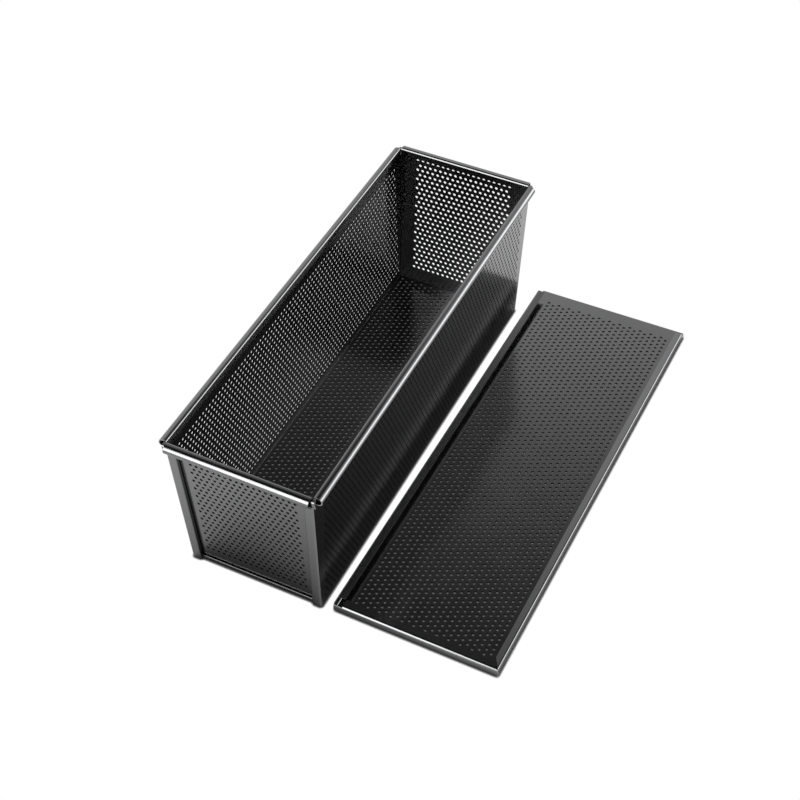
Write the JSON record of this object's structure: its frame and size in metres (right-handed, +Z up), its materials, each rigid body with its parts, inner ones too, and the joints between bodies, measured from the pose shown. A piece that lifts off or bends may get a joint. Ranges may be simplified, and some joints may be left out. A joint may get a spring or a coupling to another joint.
{
  "type": "square loaf pan",
  "caption": "Square loaf pan of folded perforated sheet steel, long and deep, with rolled rims and a flat slide-on lid lying upside-down beside it.",
  "frame": {"origin": "centre of the pan's underside, on the surface it stands on", "axes": "+X from the pan towards the lid lying beside it, +Y along the length of the pan towards its far end, +Z up"},
  "size_m": [0.2284, 0.3483, 0.1152],
  "materials": {
    "coated_steel": "satin near-black non-stick coating on perforated sheet steel",
    "wire_steel": "satin near-black coating over drawn steel wire"
  },
  "bodies": {
    "pan": {"trough": "coated_steel", "near_end_panel": "coated_steel", "far_end_panel": "coated_steel", "rim_wire": "wire_steel"},
    "lid": {"lid": "coated_steel"}
  },
  "joints": [
    {"name": "lid_turn_over", "type": "hinge", "parent": "pan", "child": "lid", "pos_m": [0.05735, 0.0149, 0.06235], "axis": [0.0042, 1, 0], "range_deg": [-180, 0]}
  ]
}
